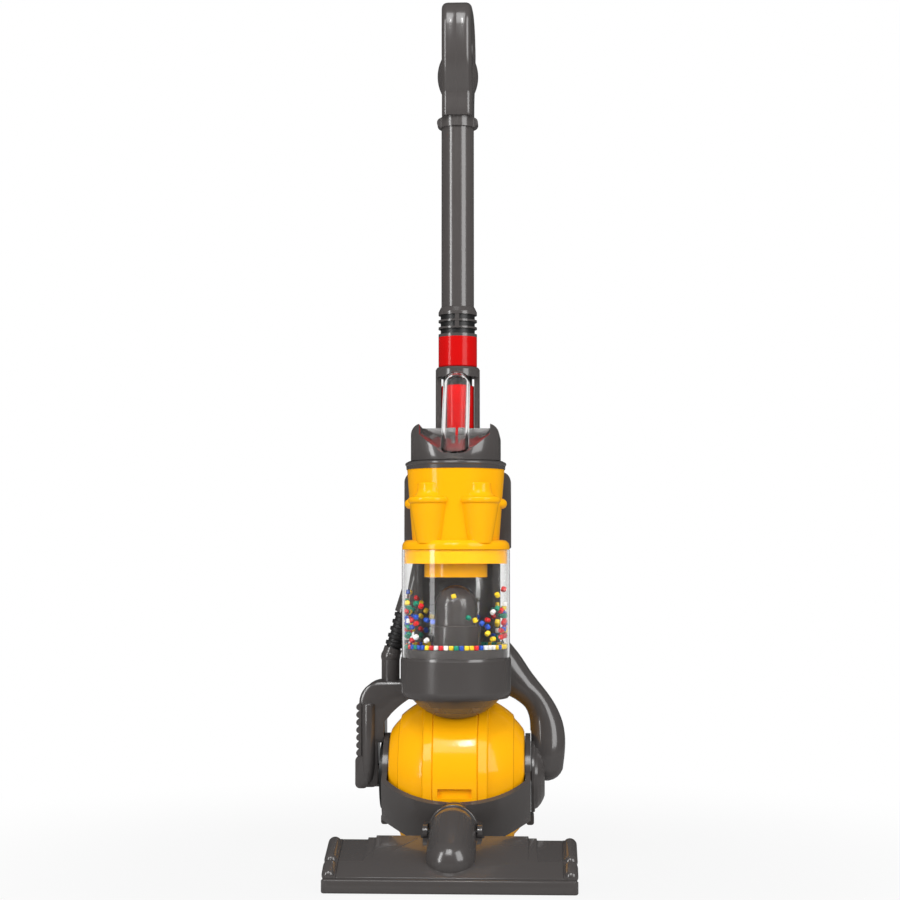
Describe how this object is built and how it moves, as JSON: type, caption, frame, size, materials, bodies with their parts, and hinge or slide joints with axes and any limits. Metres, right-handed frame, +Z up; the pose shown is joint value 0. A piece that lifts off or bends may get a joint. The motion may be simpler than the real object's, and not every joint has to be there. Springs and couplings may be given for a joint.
{
  "type": "toy vacuum cleaner",
  "caption": "Toy upright vacuum cleaner on a ball, with a clear bin of loose beads, a cyclone, a wand with a loop handle, and a floor head that swivels and tilts.",
  "frame": {"origin": "on the floor, under the middle of the whole width and depth", "axes": "+Z up along the wand, -Y to the front, where the floor head is, +X to the air duct's side"},
  "size_m": [0.181, 0.22, 0.6766],
  "materials": {
    "grey_plastic": "gloss",
    "yellow_plastic": "gloss",
    "red_plastic": "gloss",
    "clear_plastic": "clear gloss",
    "bead_red": "satin",
    "bead_blue": "satin",
    "bead_green": "satin",
    "bead_yellow": "satin",
    "bead_white": "satin",
    "steel": "bright",
    "black_plastic": "matte",
    "black_rubber": "satin"
  },
  "bodies": {
    "yoke": {"yoke": "grey_plastic", "ball_axle": "steel"},
    "ball": {"ball_center_band": "yellow_plastic", "ball_left_shell": "yellow_plastic", "ball_right_shell": "yellow_plastic", "ball_bushes": "black_plastic"},
    "impeller": {"motor_shaft": "steel", "impeller": "black_plastic"},
    "button": {"power_button": "red_plastic"},
    "neck": {"neck_collar": "grey_plastic", "neck_pins": "black_plastic"},
    "head": {"neck_elbow": "grey_plastic", "head_top_shell": "grey_plastic", "head_bumper": "grey_plastic", "head_end_cap_left": "grey_plastic", "head_end_cap_right": "grey_plastic", "head_sole_plate": "black_plastic"},
    "upright": {"handle_left_shell": "grey_plastic", "handle_right_shell": "grey_plastic", "handle_collar": "grey_plastic", "wand_tube": "grey_plastic", "wand_collar": "grey_plastic", "wand_socket": "grey_plastic", "top_cover": "grey_plastic", "cyclone_rim": "grey_plastic", "bin_floor": "grey_plastic", "bin_dome": "grey_plastic", "bin_base": "grey_plastic", "back_spine": "grey_plastic", "spine_back_panel": "grey_plastic", "battery_cover": "grey_plastic", "side_pod": "grey_plastic", "pod_grip_strip": "grey_plastic", "hose_elbow": "grey_plastic", "hose_port": "grey_plastic", "air_duct": "grey_plastic", "duct_hub": "grey_plastic", "cyclone_body": "yellow_plastic", "bin_lid": "yellow_plastic", "bin_inlet_collar": "yellow_plastic", "release_cuff": "red_plastic", "wand_stem": "red_plastic", "carry_handle": "clear_plastic", "bin_cylinder": "clear_plastic", "beads_red": "bead_red", "beads_blue": "bead_blue", "beads_green": "bead_green", "beads_yellow": "bead_yellow", "beads_white": "bead_white", "motor": "steel", "cover_screws": "steel", "battery_cells": "steel", "battery_contacts": "steel", "ribbed_hose": "black_rubber"}
  },
  "joints": [
    {"name": "ball_roll", "type": "hinge", "parent": "yoke", "child": "ball", "pos_m": [0, 0.045, 0.065], "axis": [1, 0, 0], "continuous": true},
    {"name": "recline", "type": "hinge", "parent": "yoke", "child": "upright", "pos_m": [0, 0.045, 0.065], "axis": [-1, 0, 0], "range_deg": [0, 55]},
    {"name": "head_swivel", "type": "hinge", "parent": "yoke", "child": "neck", "pos_m": [0, -0.0272, 0.035], "axis": [0, 1, 0], "range_deg": [-25, 25]},
    {"name": "head_pitch", "type": "hinge", "parent": "neck", "child": "head", "pos_m": [0, -0.051, 0.035], "axis": [-1, 0, 0], "range_deg": [-10, 25]},
    {"name": "impeller_spin", "type": "hinge", "parent": "upright", "child": "impeller", "pos_m": [0, 0.007, 0.17], "axis": [0, 0, 1], "continuous": true},
    {"name": "power_press", "type": "slide", "parent": "upright", "child": "button", "axis": [0, -1, 0], "range_m": [0, 0.002], "stiffness_N_per_m": 400}
  ]
}
